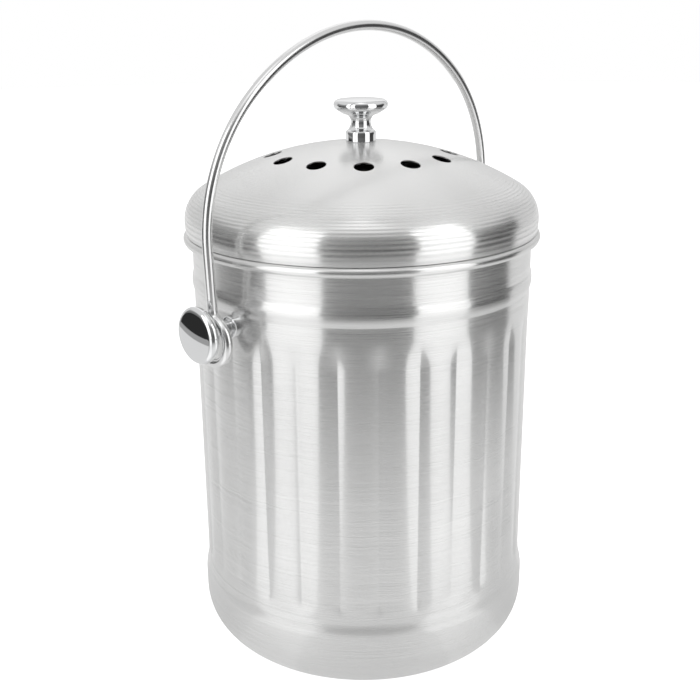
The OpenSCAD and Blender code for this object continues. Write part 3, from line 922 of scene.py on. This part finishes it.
class PAIL_OT_pivots(bpy.types.Operator):
    """Turns the collars, stubs and caps that carry the bail"""

    bl_idname = "pail.pivots"
    bl_label = "Pivots"

    # Depth of the caps' threaded holes, and radii of the stubs' and collars' rounded edges
    HOLE_L, STUB_EDGE, COLLAR_EDGE = 0.006, 0.0002, 0.0009

    def execute(self, context):
        size, lid = context.scene.pail_bail, context.scene.pail_lid
        wall_r = context.scene.pail_bucket.wall_r
        bore, thread_r = lid.screw_hole_r, lid.thread_r
        head = head_outline(size.cap_r, size.cap_l, size.cap_neck_r, 0, size.cap_flare_r, lid)
        hole = [(0, self.HOLE_L), (thread_r, self.HOLE_L), (thread_r, 0), (size.cap_neck_r, 0)]
        stub_l = size.cap_x - size.collar_x
        stub = rounded(
            [(bore, 0), (size.stub_r, 0), (size.stub_r, stub_l), (bore, stub_l)],
            [self.STUB_EDGE, self.STUB_EDGE],
        )
        seat = math.sqrt(wall_r**2 - size.collar_r**2)
        collar_l = size.collar_x - seat
        collar = rounded(
            [(bore, 0), (size.collar_r, 0), (size.collar_r, collar_l), (bore, collar_l)],
            [0, self.COLLAR_EDGE],
            5,
        )
        for name, side in SIDES.items():
            for kind, outline, x in (
                ("cap", hole + head, size.cap_x),
                ("stub", [*stub, stub[0]], size.collar_x),
                ("collar", [*collar, collar[0]], seat),
            ):
                piece = turned(f"{kind}_{name}", outline, 72)
                place(piece, (side * x, 0, size.pivot_z), (0, side * math.pi / 2, 0))
                smooth(piece)
                hand_over(piece, "bucket", "bright_chrome", f"pivot_{kind}_{name}")
        return {"FINISHED"}


class PAIL_OT_bail(bpy.types.Operator):
    """Bends the bail from one length of round wire, one half at a time"""

    bl_idname = "pail.bail"
    bl_label = "Bail"

    # Facets round the wire and along its crown, shoulders, leg bends, necks and eyes
    FACETS, CROWN, SHOULDER, LEG, NECK, EYE = 24, 20, 30, 4, 8, 48
    END_ROUND = 0.3

    def execute(self, context):
        size = context.scene.pail_bail
        shoulder_x = size.belly_x - size.shoulder_r
        bend_gap = size.crown_r - size.shoulder_r
        crown_turn = math.asin(shoulder_x / bend_gap)
        crown_z = size.belly_z - bend_gap * math.cos(crown_turn)
        neck_z = math.sqrt(size.eye_r**2 + 2 * size.neck_r * size.eye_r) - size.eye_drop
        neck_turn = math.atan2(size.neck_r, neck_z + size.eye_drop)
        reach = Vector((size.eye_x + size.leg_bend_r - shoulder_x, size.belly_z - neck_z))
        turned_by = math.acos((size.shoulder_r + size.leg_bend_r) / reach.length)
        slant = math.atan2(reach.y, reach.x) - turned_by
        out, down = math.cos(slant), math.sin(slant)
        leg_top = Vector((shoulder_x + size.shoulder_r * out, 0, size.belly_z - size.shoulder_r * down))
        leg_x = size.eye_x + size.leg_bend_r
        leg_foot = Vector((leg_x - size.leg_bend_r * out, 0, neck_z + size.leg_bend_r * down))
        select_only()
        bpy.ops.mesh.primitive_circle_add(
            vertices=self.FACETS,
            radius=size.wire_r,
            location=(0, 0, crown_z + size.crown_r),
            rotation=(0, math.pi / 2, 0),
        )
        piece = bpy.context.object
        piece.name = piece.data.name = "bail_wire"
        bpy.ops.object.transform_apply(location=True, rotation=True, scale=True)
        mode("EDIT")
        bpy.ops.mesh.select_all(action="SELECT")
        spin(self.CROWN, crown_turn, (0, 0, crown_z), (0, 1, 0))
        shoulder_turn = math.pi / 2 - crown_turn + slant
        spin(self.SHOULDER, shoulder_turn, (shoulder_x, 0, size.belly_z), (0, 1, 0))
        bpy.ops.mesh.extrude_region_move(TRANSFORM_OT_translate={"value": leg_foot - leg_top})
        spin(self.LEG, slant, (leg_x, 0, neck_z), (0, -1, 0))
        spin(self.NECK, math.pi / 2 - neck_turn, (size.eye_x, size.neck_r, neck_z), (1, 0, 0))
        eye_turn = 2 * math.pi - size.eye_open - neck_turn
        spin(self.EYE, eye_turn, (size.eye_x, 0, -size.eye_drop), (-1, 0, 0))
        bpy.ops.mesh.edge_face_add()
        bpy.ops.mesh.bevel(offset=size.wire_r * self.END_ROUND, segments=3, affect="EDGES")
        mode("OBJECT")
        bpy.ops.object.duplicate()
        place(bpy.context.object, turn=(0, 0, math.pi))
        piece.select_set(True)
        bpy.context.view_layer.objects.active = piece
        bpy.ops.object.join()
        mode("EDIT")
        close_turned(piece)
        place(piece, (-size.shift, 0, size.pivot_z), (size.lean, 0, 0))
        smooth(piece, 50)
        hand_over(piece, "bail", "wire_steel", "bail_handle")
        return {"FINISHED"}


class PAIL_OT_filter(bpy.types.Operator):
    """Makes the round charcoal pad, with soft edges and an uneven face"""

    bl_idname = "pail.filter"
    bl_label = "Filter Pad"

    # Rings of faces and the share of the radius that they fill, and the uneven face's depths
    RINGS, FLAT_SHARE = 18, 0.97
    SUNK, WAVE = 0.00025, 0.0001

    def execute(self, context):
        size = context.scene.pail_lid
        low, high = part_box("charcoal_filter")
        radius, soft = high.x, size.filter_edge
        top = [(r, high.z) for r in steps(0, radius * self.FLAT_SHARE, self.RINGS)[:-1]]
        bottom = [(r, low.z) for r, _ in top]
        edge = rounded([top[-1], (radius, high.z), (radius, low.z), bottom[-1]], [soft, soft], 6)
        piece = turned("filter_pad", [*top, *edge, *bottom[::-1]], 120)
        for vertex in piece.data.vertices:
            x, y, z = vertex.co * 1000
            wave = math.sin(x * 0.41 + 1.3) * math.sin(y * 0.37 + 0.6) + math.sin(x * 0.9 + y * 0.7)
            inwards = -1 if z > (low.z + high.z) * 500 else 1
            vertex.co.z += inwards * (self.SUNK + self.WAVE * wave)
        smooth(piece, 60)
        hand_over(piece, "lid", "charcoal_felt", "charcoal_filter")
        return {"FINISHED"}


def studio_group(camera_turn):
    """Degrees away from the camera's side, degrees to its right, and the lengths across and ahead."""
    shading, given, filled = new_group("Studio Azimuth", {}, ("Azimuth", "Side", "Across", "Ahead"))
    turn = {"Vector": given["Vector"], "Angle": -camera_turn}
    turned_place = shading.node("ShaderNodeVectorRotate", turn, rotation_type="Z_AXIS").outputs[0]
    parts = shading.split(turned_place)
    ahead = shading.product(parts["Y"], -1.0)
    side = shading.product(shading.math("ARCTAN2", parts["X"], ahead), 180 / math.pi)
    azimuth = shading.math("ABSOLUTE", side)
    shading.fill(filled, {"Azimuth": azimuth, "Side": side, "Across": parts["X"], "Ahead": ahead})


class PAIL_OT_stage(bpy.types.Operator):
    """Sets up the camera, the soft lamps, the pale floor and the room that the steel mirrors"""

    bl_idname = "pail.stage"
    bl_label = "Stage"

    # What the steel mirrors, as bands with soft ends. A turn is in degrees away from the camera's
    # side, a side in degrees to its right, a rise is a direction's upward part, a far is a radius
    # on the floor in metres, and a level is a brightness.
    CEILING_TURN, CEILING_RISE_START, CEILING_RISE_FULL = (40.0, 80.0), (0.44, 0.14), (0.78, 0.5)
    GLOW_TURN, GLOW_RISE = (10.0, 60.0), (0.74, 0.95)
    BACKDROP_TURN, BACKDROP_RISE, BACKDROP_FOOT = (111.0, 120.0), (0.0, 0.5), 0.74
    BACKDROP_MIDDLE_TURN, BACKDROP_MIDDLE_LEVEL = (130.0, 175.0), (0.7, 1.1)
    DARK_SIDE, DARK_RISE, DARK_LEVEL = (-80.0, 80.0), (0.0, 0.36), (0.55, 1.12)

    # Painted light: the floor's glow brightens before the lamps as if they lit a table
    # The floor before the two lamps: their middle and spread to either side, how wide the light
    # lies near and far, and its level, which changes over each of the rows (far, far, level).
    LAMPS_MIDDLE, LAMPS_SIDE, LAMP_FAR = 3.8, 47.0, (0.45, 0.6)
    LAMP_WIDTH_INNER, LAMP_WIDTH_OUTER = (14.0, 18.5), (28.0, 20.0)
    LAMP_LEVEL = 0.95
    LAMP_LEVELS = ((0.12, 0.21, 1.18), (0.25, 0.48, 1.03), (0.48, 0.66, 1.26), (0.98, 1.25, 0.0))
    BESIDE_TURN, BESIDE_FAR, BESIDE_LEVEL = (60.0, 85.0), (0.18, 0.42), (0.9, 1.05)

    # A painted reflection of a dark stand on the left, in the floor's glow, that the left cap mirrors,
    # with slanting pale edges
    STAND_SIDE, STAND_SLANT, STAND_DARK = (-76.0, -66.0), 0.5, 0.03
    STAND_EDGES = ((0.66, 0.68, 0.82), (0.79, 0.8, 0.4))
    STAND_FAR, STAND_FAR_LEVEL = (2.3, 3.8), 0.4
    FLOOR_BACKDROP_TURN = (103.0, 114.0)
    # Painted contact shadow in the floor's glow: the radii over which it fades out round the base, and
    # its level
    CONTACT_FAR, CONTACT_LEVEL = (0.085, 0.19), 0.86
    FLOOR_R, FLOOR_WHITE = 4.0, 0.8

    def camera(self, stage):
        """The photograph's camera."""
        data = bpy.data.cameras.new("Camera")
        data.lens = stage.lens
        data.sensor_width = 36.0
        data.clip_start = 0.01
        camera = bpy.data.objects.new("Camera", data)
        bpy.context.scene.collection.objects.link(camera)
        turn = Matrix.Rotation(stage.camera_turn, 4, "Z")
        look = (
            Matrix.Rotation(stage.camera_pan, 4, "Z")
            @ Matrix.Rotation(math.pi / 2 - stage.camera_tilt, 4, "X")
            @ Matrix.Rotation(stage.camera_roll, 4, "Z")
        )
        stand = Matrix.Translation((0, -stage.camera_far, stage.camera_z))
        camera.matrix_world = turn @ stand @ look
        bpy.context.scene.camera = camera

    def lamp(self, name, stage, azimuth, width):
        """A soft lamp that faces the axis."""
        data = bpy.data.lights.new(name, "AREA")
        data.shape = "RECTANGLE"
        data.size, data.size_y = width, stage.lamp_h
        data.energy = stage.lamp_radiance * math.pi * width * stage.lamp_h
        lamp = bpy.data.objects.new(name, data)
        bpy.context.scene.collection.objects.link(lamp)
        turn = Matrix.Rotation(stage.camera_turn + azimuth, 4, "Z")
        stand = Matrix.Translation((0, -stage.lamp_far, stage.lamp_h / 2 + stage.lamp_low))
        face = Matrix.Rotation(-math.pi / 2, 4, "X") @ Matrix.Rotation(math.pi, 4, "Y")
        lamp.matrix_world = turn @ stand @ face
        lamp.visible_camera = False

    def dark_room(self, shading, side, stage, level=1.0):
        """The dark room's brightness, from the camera's left to its right."""
        left, right = stage.room_left * level, stage.room_right * level
        return shading.remap(side, *self.DARK_SIDE, left, right, "LINEAR")

    def room(self, stage):
        """White to the camera; to the steel, a dark room with a pale ceiling and backdrop."""
        world = bpy.data.worlds.new("Room")
        world.use_nodes = True
        world.node_tree.nodes.clear()
        bpy.context.scene.world = world
        room = Shading(world.node_tree)
        way = room.node("ShaderNodeTexCoord").outputs["Generated"]
        studio = room.use("Studio Azimuth", way).outputs
        azimuth, rise = studio["Azimuth"], room.split(way)["Z"]
        start = room.remap(azimuth, *self.CEILING_TURN, *self.CEILING_RISE_START)
        full = room.remap(azimuth, *self.CEILING_TURN, *self.CEILING_RISE_FULL)
        ceiling = room.remap(rise, start, full, 0.0, stage.ceiling)
        glow = room.remap(azimuth, *self.GLOW_TURN, stage.front, 0.0)
        glow = room.product(glow, room.remap(rise, *self.GLOW_RISE, 0.0, 1.0))
        backdrop = room.remap(azimuth, *self.BACKDROP_TURN, 0.0, stage.backdrop)
        middle = room.remap(azimuth, *self.BACKDROP_MIDDLE_TURN, *self.BACKDROP_MIDDLE_LEVEL)
        upwards = room.remap(rise, *self.BACKDROP_RISE, self.BACKDROP_FOOT, middle)
        dark = self.dark_room(room, studio["Side"], stage)
        dark = room.product(dark, room.remap(rise, *self.DARK_RISE, *self.DARK_LEVEL))
        above = room.math("ADD", ceiling, glow)
        level = room.largest(above, room.product(backdrop, upwards), dark)
        seen = room.node("ShaderNodeLightPath").outputs["Is Camera Ray"]
        white = {"Color": (1.0, 1.0, 1.0, 1.0), "Strength": room.mix(seen, level, 1.0)}
        back = room.node("ShaderNodeBackground", white).outputs[0]
        room.node("ShaderNodeOutputWorld", {"Surface": back})

    def painted_lamp_light(self, floor, side, far):
        """Painted lamp light in the floor's glow before the two lamps."""
        gap = floor.math("ABSOLUTE", floor.math("SUBTRACT", side, self.LAMPS_MIDDLE))
        gap = floor.math("ABSOLUTE", floor.math("SUBTRACT", gap, self.LAMPS_SIDE))
        inner = floor.remap(far, *self.LAMP_FAR, *self.LAMP_WIDTH_INNER)
        outer = floor.remap(far, *self.LAMP_FAR, *self.LAMP_WIDTH_OUTER)
        # The painted light's level, which changes with the radius
        light = self.LAMP_LEVEL
        for start, end, level in self.LAMP_LEVELS:
            light = floor.remap(far, start, end, light, level)
        return floor.product(floor.remap(gap, inner, outer, 1.0, 0.0), light)

    def painted_stand_reflection(self, floor, studio, far):
        """The painted dark stand's brightness in the floor's glow, between its slanting edges."""
        across = floor.product(studio["Across"], -1.0)
        slant = floor.math("MULTIPLY_ADD", studio["Ahead"], self.STAND_SLANT, across)
        edges = [
            floor.remap(slant, start, end, level, self.STAND_DARK)
            for start, end, level in self.STAND_EDGES
        ]
        return floor.largest(*edges, floor.remap(far, *self.STAND_FAR, 0.0, self.STAND_FAR_LEVEL))

    def painted_floor_reflection(self, floor, stage):
        """The floor's brightness as the steel mirrors it: a painted reflection that glows only to
        glossy rays.
        """
        where = floor.node("ShaderNodeTexCoord").outputs["Object"]
        studio = floor.use("Studio Azimuth", where).outputs
        azimuth, side, far = studio["Azimuth"], studio["Side"], floor.length(where)
        table = floor.remap(far, stage.table_near, stage.table_far, stage.table, 0.0, "LINEAR")
        lit = floor.largest(table, self.painted_lamp_light(floor, side, far))
        edge_level = floor.remap(far, *self.BESIDE_FAR, *self.BESIDE_LEVEL)
        lit = floor.product(lit, floor.remap(azimuth, *self.BESIDE_TURN, 1.0, edge_level))
        level = floor.largest(lit, self.dark_room(floor, side, stage, stage.floor_share))
        aside = floor.remap(side, *self.STAND_SIDE, 1.0, 0.0)
        level = floor.mix(aside, level, self.painted_stand_reflection(floor, studio, far))
        backdrop = floor.remap(azimuth, *self.FLOOR_BACKDROP_TURN, 0.0, stage.table)
        # Painted contact shadow: the glow darkens near the pail's base
        painted_contact_shadow = floor.remap(far, *self.CONTACT_FAR, self.CONTACT_LEVEL, 1.0)
        return floor.product(floor.largest(level, backdrop), painted_contact_shadow)

    def floor(self, stage):
        """White to the camera; to the steel, a painted reflection of a lit table with dark and bright
        parts round it.
        """
        select_only()
        bpy.ops.mesh.primitive_circle_add(vertices=128, radius=self.FLOOR_R, fill_type="NGON")
        plate = bpy.context.object
        plate.name = "floor"
        material = bpy.data.materials.new("Floor")
        material.use_nodes = True
        material.node_tree.nodes.clear()
        floor = Shading(material.node_tree)
        glow = {"Strength": self.painted_floor_reflection(floor, stage)}
        white = {"Color": (self.FLOOR_WHITE, self.FLOOR_WHITE, self.FLOOR_WHITE, 1.0)}
        path = floor.node("ShaderNodeLightPath").outputs
        # Painted reflection: only glossy rays see this glow, so the steel mirrors painted light and
        # shade
        painted_reflection = floor.node("ShaderNodeEmission", glow).outputs[0]
        lit = floor.node("ShaderNodeBsdfDiffuse", white).outputs[0]
        lifted = floor.node("ShaderNodeEmission", {"Strength": self.FLOOR_WHITE}).outputs[0]
        seen = floor.node("ShaderNodeAddShader", {0: lit, 1: lifted}).outputs[0]
        other = {0: path["Is Glossy Ray"], 1: lit, 2: painted_reflection}
        other = floor.node("ShaderNodeMixShader", other).outputs[0]
        mixed = {0: path["Is Camera Ray"], 1: other, 2: seen}
        mixed = floor.node("ShaderNodeMixShader", mixed).outputs[0]
        floor.node("ShaderNodeOutputMaterial", {"Surface": mixed})
        plate.data.materials.append(material)

    def execute(self, context):
        stage = context.scene.pail_stage
        studio_group(stage.camera_turn)
        self.camera(stage)
        self.lamp("Lamp Left", stage, stage.left_turn, stage.left_width)
        self.lamp("Lamp Right", stage, stage.right_turn, stage.right_width)
        self.room(stage)
        self.floor(stage)
        context.scene.view_settings.view_transform = "Standard"
        return {"FINISHED"}


class PAIL_PT_panel(bpy.types.Panel):
    """Lists the steps and the sizes in the 3D view's sidebar"""

    bl_label = "Compost Pail"
    bl_idname = "PAIL_PT_panel"
    bl_space_type = "VIEW_3D"
    bl_region_type = "UI"
    bl_category = "Pail"

    def draw(self, context):
        for step in STEPS:
            self.layout.operator(step.bl_idname)
        for name, settings in SETTINGS.items():
            box = self.layout.box()
            for prop in settings.__annotations__:
                box.prop(getattr(context.scene, name), prop)


STEPS = (
    PAIL_OT_stage,
    PAIL_OT_finishes,
    PAIL_OT_bucket,
    PAIL_OT_lid,
    PAIL_OT_knob,
    PAIL_OT_pivots,
    PAIL_OT_bail,
    PAIL_OT_filter,
)
CLASSES = (*SETTINGS.values(), *STEPS, PAIL_PT_panel)


def register():
    for each in CLASSES:
        bpy.utils.register_class(each)
    for name, settings in SETTINGS.items():
        setattr(bpy.types.Scene, name, bpy.props.PointerProperty(type=settings))


def unregister():
    for name in SETTINGS:
        delattr(bpy.types.Scene, name)
    for each in reversed(CLASSES):
        bpy.utils.unregister_class(each)


def main():
    register()
    bpy.ops.pail.stage()
    bpy.ops.pail.finishes()
    bpy.ops.pail.bucket()
    bpy.ops.pail.lid()
    bpy.ops.pail.knob()
    bpy.ops.pail.pivots()
    bpy.ops.pail.bail()
    bpy.ops.pail.filter()


if __name__ == "__main__":
    main()
